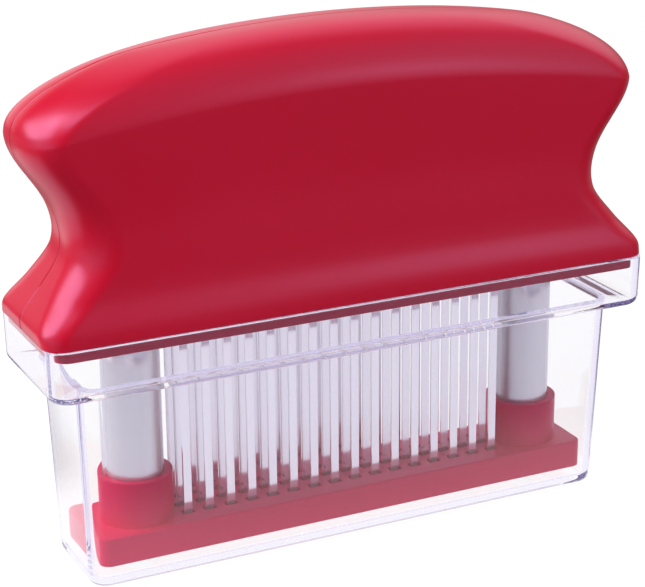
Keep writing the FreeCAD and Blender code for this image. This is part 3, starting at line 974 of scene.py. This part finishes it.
@dataclass
class ClearCase(SubAssembly):
    """The clear moulded trough with its deeper lip."""

    wall: float = 1.7 * MM
    floor: float = 1.8 * MM
    lip_height: float = 12.3 * MM
    lip_draft: float = 0.2 * MM
    lip_corner: float = 4.7 * MM
    lip_edge: float = 2.2 * MM
    ledge: float = 1.6 * MM
    ledge_length: float = 7.2 * MM
    ledge_depth: float = 4.0 * MM
    draft_length: float = 1.5 * MM
    draft_depth: float = 1.6 * MM
    body_corner: float = 4.4 * MM
    foot_edge: float = 2.2 * MM
    rim_edge: float = 0.25 * MM
    inner_edge: float = 0.3 * MM
    outer_steps: int = 12
    rim_steps: int = 4
    inner_steps: int = 8
    flat_end: float = 0.3 * MM
    floor_step: float = 0.8 * MM
    shelf_shares: Tuple[float, ...] = (0.08, 0.92)

    def __post_init__(self) -> None:
        """Reads the case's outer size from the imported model."""
        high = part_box("clear_case")[1]
        self.half_length = high.x - self.lip_draft
        self.half_depth = high.y - self.lip_draft
        self.height = high.z

    def build(self) -> None:
        """Makes the case as rings carried up the outside, over the rim and down the inside."""
        top, ledge_z = self.height, self.height - self.lip_height
        shelf_z, middle_z = ledge_z + self.ledge, ledge_z / 2.0
        body = Outline(0.0, ledge_z + self.ledge / 2.0,
                       self.half_length - self.ledge_length - self.draft_length,
                       self.half_depth - self.ledge_depth - self.draft_depth,
                       self.draft_length, self.draft_depth, self.body_corner)
        lip = Outline(ledge_z, self.lip_height, self.half_length, self.half_depth, self.lip_draft,
                      self.lip_draft, self.lip_corner)
        wall, foot, edge, rim, soft, flat = (self.wall, self.foot_edge, self.lip_edge, self.rim_edge,
                                             self.inner_edge, self.flat_end)
        floor, bowl = self.floor, foot - wall / 2.0
        rings = np.concatenate((
            body.wall((foot + self.floor_step, 0.0), (foot + flat, 0.0)),
            body.bend((foot, foot), foot, 270.0, 180.0, self.outer_steps),
            body.wall((0.0, foot + flat), (0.0, middle_z), (0.0, ledge_z - flat), (0.0, ledge_z)),
            self._shelf(ledge_z),
            lip.bend((edge, ledge_z + edge), edge, 270.0, 180.0, self.outer_steps),
            lip.wall((0.0, ledge_z + edge + flat), (0.0, top - rim - flat)),
            lip.bend((rim, top - rim), rim, 180.0, 90.0, self.rim_steps),
            lip.bend((wall - rim, top - rim), rim, 90.0, 0.0, self.rim_steps),
            lip.wall((wall, top - rim - flat), (wall, shelf_z + soft + flat)),
            lip.bend((wall + soft, shelf_z + soft), soft, 180.0, 270.0, self.rim_steps),
            body.bend((wall - soft, shelf_z - soft), soft, 90.0, 0.0, self.rim_steps),
            body.wall((wall, shelf_z - soft - flat), (wall, middle_z), (wall, floor + bowl + flat)),
            body.bend((wall + bowl, floor + bowl), bowl, 180.0, 270.0, self.inner_steps),
            body.wall((wall + bowl + flat, floor), (wall + bowl + self.floor_step, floor)),
        ))
        skin = Skin()
        skin.bar(rings)
        self.fit(skin.make("case_moulding", crease=50.0), Body.CASE, Slot.CLEAR, "clear_case")

    def _shelf(self, ledge_z: float) -> Points:
        """Rings across the underside of the ledge, between the body's outline and the lip's edge.

        Args:
            ledge_z: the height of the underside.

        Returns:
            Grid of rings by points round the ring.
        """
        inner = np.array((self.half_length - self.ledge_length, self.half_depth - self.ledge_depth,
                          self.body_corner))
        outer = np.array((self.half_length, self.half_depth, self.lip_corner)) - self.lip_edge
        length, depth, corner = (inner + (outer - inner) * np.array(self.shelf_shares)[:, None]).T
        return rounded_ring(length, depth, corner, np.full(len(length), ledge_z))


# ------------------------------------------------------------------ base plate and blades
@dataclass
class BasePlate(SubAssembly):
    """The red plate under the handle, the bars and clamp that hold the blades, and their screws."""

    edge: float = 0.18 * MM

    def build(self) -> None:
        """Softens the plate's edges and dresses what it carries."""
        plate = softened_copy("base_plate", "base_plate_moulding", self.edge)
        self.fit(plate, Body.HANDLE, Slot.RED, "base_plate")
        self.wardrobe.dress_nodes("front_blade_bar", "middle_blade_bar", "rear_blade_bar", "clamp_plate",
                                  "clamp_screws", "base_plate_screws")


@dataclass
class BladeRows(SubAssembly):
    """Three rows of flat steel blades with ground tips and T-shaped heads."""

    blades_in_row: int = 16
    width: float = 2.1 * MM
    thickness: float = 0.6 * MM
    shoulder: float = 0.4 * MM
    head_height: float = 2.5 * MM
    edge: float = 0.10 * MM
    tip_height: float = 1.3 * MM
    cutting_edge: float = 0.02 * MM
    cutting_corner: float = 0.005 * MM
    ground_share: float = 0.25
    ground_thickness: float = 0.28
    blend_height: float = 0.1 * MM
    blend_thickness: float = 0.95
    blend_edge: float = 0.8

    @staticmethod
    def _section(half_width: float, half_thickness: float, edge: float) -> Points:
        """Eight-sided section: a rectangle with its corners cut by edge."""
        w, t = half_width, half_thickness
        return np.array([(w, -t + edge), (w, t - edge), (w - edge, t), (edge - w, t), (-w, t - edge),
                         (-w, edge - t), (edge - w, -t), (w - edge, -t)])

    def _blade(self, tip_z: float, top_z: float) -> Points:
        """Sections of one blade from its cutting edge up to the top of its head.

        Formula: the section's thickness grows in a straight line from the cutting edge over the tip's
        height, stays the same up the strip, and its width steps out at the head.

        Args:
            tip_z: the height of the cutting edge.
            top_z: the height of the head's top.

        Returns:
            Grid of sections by points round the section.
        """
        w, t, e = self.width / 2.0, self.thickness / 2.0, self.edge
        full_z, neck_z, head = tip_z + self.tip_height, top_z - self.head_height, w + self.shoulder
        ground_z = tip_z + self.ground_share * self.tip_height
        levels = ((tip_z, w - e, self.cutting_edge, self.cutting_corner),
                  (ground_z, w, t * self.ground_thickness, self.cutting_edge),
                  (full_z - self.blend_height, w, t * self.blend_thickness, e * self.blend_edge),
                  (full_z, w, t, e), (full_z + 2.0 * self.blend_height, w, t, e), (neck_z, w, t, e),
                  (neck_z, head, t, e), (top_z, head, t, e))
        sections = [(self._section(*sizes), z) for z, *sizes in levels]
        return np.stack([np.column_stack((section, np.full(len(section), z))) for section, z in sections])

    def build(self) -> None:
        """Makes one piece for each row of blades."""
        for row in Row:
            node = row.value + "_blades"
            low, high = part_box(node)
            middle = (low.y + high.y) / 2.0
            first = low.x + self.width / 2.0 + self.shoulder
            last = high.x - self.width / 2.0 - self.shoulder
            blade = self._blade(low.z, high.z)
            skin = Skin()
            for x in np.linspace(first, last, self.blades_in_row):
                skin.bar(blade + np.array((x, middle, 0.0)))
            piece = skin.make(row.value + "_blade_row", crease=20.0)
            self.fit(piece, Body.HANDLE, Slot.BLADE, node)


# ------------------------------------------------------------------ guard, posts and springs
@dataclass
class BladeGuard(SubAssembly):
    """The slotted red bar with its two cups, and the screws and washers that hold it to the posts."""

    edge: float = 0.22 * MM

    def build(self) -> None:
        """Softens the guard's edges and dresses its fasteners."""
        guard = softened_copy("blade_guard", "guard_moulding", self.edge, steps=3)
        self.fit(guard, Body.GUARD, Slot.RED, "blade_guard")
        self.wardrobe.dress_nodes("post_screws", "post_washers")


@dataclass
class PostSet(SubAssembly):
    """Everything on one post's axis: tube, bush, collar, foot, spring, guide rod and seat."""

    side: Side
    tube_wall: float = 0.75 * MM
    edge: float = 0.2 * MM
    wire_radius: float = 0.6 * MM
    spring_turns: float = 17.0
    closed_turns: float = 1.6
    closed_pitch: float = 1.22 * MM
    steps_in_turn: int = 28
    wire_steps: int = 8

    def _ring_profile(self, inner: float, outer: float, low: float, high: float) -> Points:
        """Closed section of a ring with its four edges cut by the edge size."""
        e = min(self.edge, (outer - inner) / 3.0, (high - low) / 3.0)
        return np.array([(inner, low + e), (inner + e, low), (outer - e, low), (outer, low + e),
                         (outer, high - e), (outer - e, high), (inner + e, high), (inner, high - e)])

    def _tube(self) -> None:
        """The post's tube, turned with small chamfers."""
        node = self.side.word + "_post"
        low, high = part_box(node)
        outer = (high.x - low.x) / 2.0
        profile = self._ring_profile(outer - self.tube_wall, outer, low.z, high.z)
        skin = Skin()
        skin.grid(turned(profile, (low.x + high.x) / 2.0), wrap_columns=True, wrap_rows=True)
        self.fit(skin.make(node + "_tube", crease=30.0), Body.GUARD, Slot.POST, node)

    def _spring(self) -> None:
        """The return spring, with closed ends, made at its length in the model; the real spring shortens
        towards its seat as the guard rises.

        Formula: the wire's middle follows a helix whose climb per turn is the closed pitch for the first
        and last turns and even in between; a circle is carried along it, square to its path.
        """
        node = self.side.word + "_spring"
        low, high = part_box(node)
        x = (low.x + high.x) / 2.0
        radius = (high.x - low.x) / 2.0 - self.wire_radius
        bottom, top = low.z + self.wire_radius, high.z - self.wire_radius
        turns = np.linspace(0.0, self.spring_turns, int(self.spring_turns * self.steps_in_turn) + 1)
        closed, rise = self.closed_turns, self.closed_turns * self.closed_pitch
        climb = np.interp(turns, (0.0, closed, self.spring_turns - closed, self.spring_turns),
                          (bottom, bottom + rise, top - rise, top))
        angle = WHOLE_TURN * turns
        spoke = np.stack((np.cos(angle), np.sin(angle), np.zeros_like(angle)), axis=-1)
        path = np.array((x, 0.0, 0.0)) + radius * spoke
        path[:, 2] = climb
        ahead = np.gradient(path, axis=0)
        ahead /= np.linalg.norm(ahead, axis=1, keepdims=True)
        aside = np.cross(ahead, spoke)
        round_wire = np.linspace(0.0, WHOLE_TURN, self.wire_steps, endpoint=False)[None, :, None]
        rings = path[:, None] + self.wire_radius * (np.cos(round_wire) * spoke[:, None]
                                                    + np.sin(round_wire) * aside[:, None])
        skin = Skin()
        skin.bar(rings)
        piece = self.fit(skin.make(node + "_wire", crease=60.0), Body.HANDLE, Slot.SPRING, node)
        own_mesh(piece)

    def build(self) -> None:
        """Makes the tube and the spring and dresses the rest."""
        self._tube()
        self._spring()
        words = ("guide_bush", "spring_seat", "guide_rod", "post_collar", "post_foot")
        self.wardrobe.dress_nodes(*(self.side.word + "_" + word for word in words))


# ------------------------------------------------------------------ studio
def direction(azimuth: float, elevation: float) -> Vector:
    """Unit vector away from the tool; azimuth 0 is the front (-Y) and -90 the left, in degrees."""
    a, e = math.radians(azimuth), math.radians(elevation)
    return Vector((math.sin(a) * math.cos(e), -math.cos(a) * math.cos(e), math.sin(e)))


@dataclass(frozen=True)
class Lamp:
    """One soft rectangular lamp, placed by direction from the middle of the tool."""

    name: str
    azimuth: float
    elevation: float
    distance: float
    width: float
    height: float
    radiance: float
    roll: float = 0.0

    def build(self, aim: Vector) -> None:
        """Hangs the lamp and turns it towards the tool.

        Args:
            aim: the place that it lights.
        """
        data = bpy.data.lights.new(self.name, "AREA")
        data.shape = "RECTANGLE"
        data.size = self.width
        data.size_y = self.height
        data.energy = self.radiance * math.pi * self.width * self.height
        lamp = linked(self.name, data)
        away = direction(self.azimuth, self.elevation)
        lamp.location = aim + away * self.distance
        turn = Quaternion((0.0, 0.0, 1.0), math.radians(self.roll))
        lamp.rotation_euler = (away.to_track_quat("Z", "Y") @ turn).to_euler()


@dataclass(frozen=True)
class Glow:
    """A soft bright patch of the air all round, such as a lit wall."""

    azimuth: float
    elevation: float
    spread: float
    radiance: float

    def add(self, sheet: Sheet, place: Socket) -> Socket:
        """Puts the patch into the world's sheet.

        Formula: the radiance falls smoothly from its full value in the patch's own direction to 0 at spread
        degrees from it.

        Args:
            sheet: the world's sheet.
            place: the direction that is looked in.

        Returns:
            The patch's radiance.
        """
        lean = sheet.add("ShaderNodeVectorMath", operation="DOT_PRODUCT")
        sheet.join(place, lean.inputs[0])
        sheet.join(direction(self.azimuth, self.elevation), lean.inputs[1])
        return sheet.ramp(lean.outputs["Value"], math.cos(math.radians(self.spread)), 1.0, 0.0, self.radiance)


@dataclass(frozen=True)
class FloorPatch:
    """A part of the floor that is bright in gloss, with soft borders."""

    along: Tuple[float, float, float, float]
    across: Tuple[float, float, float, float]
    radiance: float

    def add(self, sheet: Sheet, x: Socket, y: Socket) -> Socket:
        """Puts the patch into the floor's sheet.

        Formula: along each axis the patch rises between its first two places and falls between its last two.

        Args:
            sheet: the floor's sheet.
            x: the place along X.
            y: the place along Y.

        Returns:
            The patch's radiance.
        """
        shares = []
        for place, stops in ((x, self.along), (y, self.across)):
            shares += [sheet.ramp(place, *stops[:2], 0.0, 1.0), sheet.ramp(place, *stops[2:], 1.0, 0.0)]
        return sheet.scaled(sheet.product(*shares), self.radiance, 0.0)


@dataclass
class Studio:
    """White sweep, soft lamps, glowing air and the camera."""

    azimuth: float = -26.145
    elevation: float = 19.062
    roll: float = -0.383
    distance: float = 462.76 * MM
    target: Tuple[float, float, float] = in_mm(2.162, 0.0, 55.231)
    focal_pixels: float = 1969.4
    picture_width: float = 645.0
    picture_height: float = 587.0
    middle_x: float = 341.81
    middle_y: float = 296.43
    sensor: float = 36.0
    clip: Tuple[float, float] = (0.01, 50.0)
    floor_size: float = 6.0
    sweep_front: float = 0.17
    sweep_fade: float = 0.08
    sweep_white: float = 0.92
    sweep_shadow: float = 0.12
    sweep_gloss: Tuple[float, float] = (0.03, 0.22)
    gloss_fade: Tuple[float, float] = (-0.02, 0.06)
    sweep_matt: float = 0.25
    air_fade: Tuple[float, float] = (-0.45, 0.05)
    fill: float = 0.03
    passes: int = 128
    dim: Colour = (0.62, 0.60, 0.86)
    mirrored: Colour = (0.90, 0.86, 1.0)
    patches: Tuple[FloorPatch, ...] = (
        FloorPatch((-0.10, -0.08, 0.08, 0.10), (-0.06, -0.03, 0.03, 0.06), 1.0),
        FloorPatch((-0.25, -0.20, -0.10, -0.08), (-0.01, 0.03, 0.24, 0.28), 0.7),
    )
    lamps: Tuple[Lamp, ...] = (
        Lamp("left rear softbox", -108.0, 40.7, 1.0, 0.53, 0.75, 3.9, -35.0),
        Lamp("upper left strip", -71.0, 65.5, 1.0, 0.84, 0.17, 4.6, 6.0),
        Lamp("front right strip", 30.0, 15.8, 1.1, 0.23, 0.17, 2.2, -26.0),
    )
    glows: Tuple[Glow, ...] = (
        Glow(129.0, 44.0, 48.0, 1.1),
        Glow(178.0, 3.0, 34.0, 1.1),
    )
    matt_glows: Tuple[Glow, ...] = (
        Glow(-92.0, -20.0, 76.0, 3.7),
        Glow(48.0, 16.0, 42.0, 2.5),
        Glow(20.0, 62.0, 36.0, 0.75),
    )

    def _camera(self) -> None:
        """Sets the camera where the tool is seen from."""
        back = direction(self.azimuth, self.elevation)
        right = Vector((0.0, 0.0, 1.0)).cross(back).normalized()
        up = back.cross(right)
        turn = math.radians(self.roll)
        side = right * math.cos(turn) + up * math.sin(turn)
        top = up * math.cos(turn) - right * math.sin(turn)
        data = bpy.data.cameras.new("camera")
        data.sensor_fit = "HORIZONTAL"
        data.sensor_width = self.sensor
        data.lens = self.focal_pixels * self.sensor / self.picture_width
        data.shift_x = (self.picture_width / 2.0 - self.middle_x) / self.picture_width
        data.shift_y = (self.middle_y - self.picture_height / 2.0) / self.picture_width
        data.clip_start, data.clip_end = self.clip
        camera = linked("camera", data)
        place = Matrix((side, top, back)).transposed().to_4x4()
        place.translation = Vector(self.target) + back * self.distance
        camera.matrix_world = place
        bpy.context.scene.camera = camera

    @staticmethod
    def _seen(sheet: Sheet, path: Sockets) -> Socket:
        """1 for what is seen straight or through the case, also in a mirror inside it, and 0 for all else."""
        direct = sheet.math("MAXIMUM", path["Is Camera Ray"], path["Transmission Depth"], clamp=True)
        return sheet.product(direct, sheet.reversed(sheet.math("MINIMUM", path["Diffuse Depth"], 1.0)))

    def _backdrop(self, sheet: Sheet, path: Sockets, ahead: Socket) -> Socket:
        """Colour of floor and air where they are seen.

        Formula: white; on the camera's side, where ahead is 1, it is dim unless it is seen straight; after
        a reflection it is tinted.

        Args:
            sheet: the sheet to add to.
            path: the outputs of its Light Path node.
            ahead: 1 on the camera's side and 0 behind the tool.

        Returns:
            The colour.
        """
        unseen = sheet.product(ahead, sheet.reversed(path["Is Camera Ray"]))
        mirrored = sheet.math("MINIMUM", path["Glossy Depth"], 1.0)
        both = sheet.add("ShaderNodeMix", data_type="RGBA", blend_type="MULTIPLY", Factor=1.0,
                         A=sheet.blended(unseen, WHITE, self.dim),
                         B=sheet.blended(mirrored, WHITE, self.mirrored))
        return both.outputs["Result"]

    def _floor(self) -> None:
        """White sweep: seen as white, it keeps a faint shadow; in gloss and through the case it has an edge.

        In gloss it is bright under the tool and in a patch behind its left end, dim behind it and dark in
        front; through the case it is white up to its edge.
        """
        half = self.floor_size / 2.0
        mesh = bpy.data.meshes.new("floor")
        mesh.from_pydata([(-half, -half, 0.0), (half, -half, 0.0), (half, half, 0.0), (-half, half, 0.0)], [],
                         [(0, 1, 2, 3)])
        floor = linked("floor", mesh)
        material = bpy.data.materials.new("white sweep")
        sheet = Sheet.of(material)
        path = sheet.add("ShaderNodeLightPath").outputs
        place = sheet.add("ShaderNodeSeparateXYZ", Vector=sheet.place()).outputs
        x, y = place["X"], place["Y"]
        ahead = sheet.ramp(y, -self.sweep_front - self.sweep_fade, -self.sweep_front, 1.0, 0.0)
        bright = sheet.total(sheet.ramp(y, *self.gloss_fade, *self.sweep_gloss),
                             *(patch.add(sheet, x, y) for patch in self.patches))
        matt = sheet.step("ShaderNodeBsdfDiffuse", opaque((self.sweep_matt,) * 3))
        gloss = sheet.step("ShaderNodeEmission", Strength=bright)
        shade = sheet.step("ShaderNodeBsdfDiffuse", opaque((self.sweep_shadow,) * 3))
        white = sheet.step("ShaderNodeEmission", self._backdrop(sheet, path, ahead), self.sweep_white)
        unseen = sheet.mixed(path["Is Glossy Ray"], matt, gloss)
        seen = sheet.step("ShaderNodeAddShader", white, shade)
        sheet.add("ShaderNodeOutputMaterial", target="ALL",
                  Surface=sheet.mixed(self._seen(sheet, path), unseen, seen))
        mesh.materials.append(material)

    def _world(self) -> None:
        """Glowing patches all round, an even fill for matt surfaces, and white where it is seen.

        Through the case, the air is white behind the tool and dim on the camera's side.
        """
        world = bpy.data.worlds.new("studio air")
        sheet = Sheet.of(world)
        path = sheet.add("ShaderNodeLightPath").outputs
        place = sheet.add("ShaderNodeTexCoord").outputs["Generated"]
        split = sheet.add("ShaderNodeSeparateXYZ", Vector=place).outputs
        matt_glows = sheet.total(*(glow.add(sheet, place) for glow in self.matt_glows))
        matt = sheet.product(sheet.scaled(matt_glows, 1.0, self.fill), sheet.reversed(path["Is Glossy Ray"]))
        strength = sheet.total(matt, *(glow.add(sheet, place) for glow in self.glows))
        ahead = sheet.ramp(split["Y"], *self.air_fade, 1.0, 0.0)
        air = sheet.step("ShaderNodeBackground", opaque(WHITE), strength)
        white = sheet.step("ShaderNodeBackground", self._backdrop(sheet, path, ahead), 1.0)
        sheet.add("ShaderNodeOutputWorld", target="ALL",
                  Surface=sheet.mixed(self._seen(sheet, path), air, white))
        bpy.context.scene.world = world

    def build(self) -> None:
        """Sets floor, air, lamps and camera."""
        self._floor()
        self._world()
        for lamp in self.lamps:
            lamp.build(Vector(self.target))
        self._camera()
        scene = bpy.context.scene
        scene.view_settings.view_transform = "Standard"
        scene.cycles.max_bounces = self.passes
        scene.cycles.glossy_bounces = scene.cycles.transmission_bounces = self.passes


def main() -> None:
    """Builds every sub-assembly in order."""
    logging.basicConfig(level=logging.INFO, format="%(message)s")
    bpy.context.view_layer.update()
    wardrobe = Wardrobe()
    Studio().build()
    ClearCase(wardrobe).build()
    Handle(wardrobe).build()
    BasePlate(wardrobe).build()
    BladeRows(wardrobe).build()
    BladeGuard(wardrobe).build()
    for side in Side:
        PostSet(wardrobe, side).build()


if __name__ == "__main__":
    main()
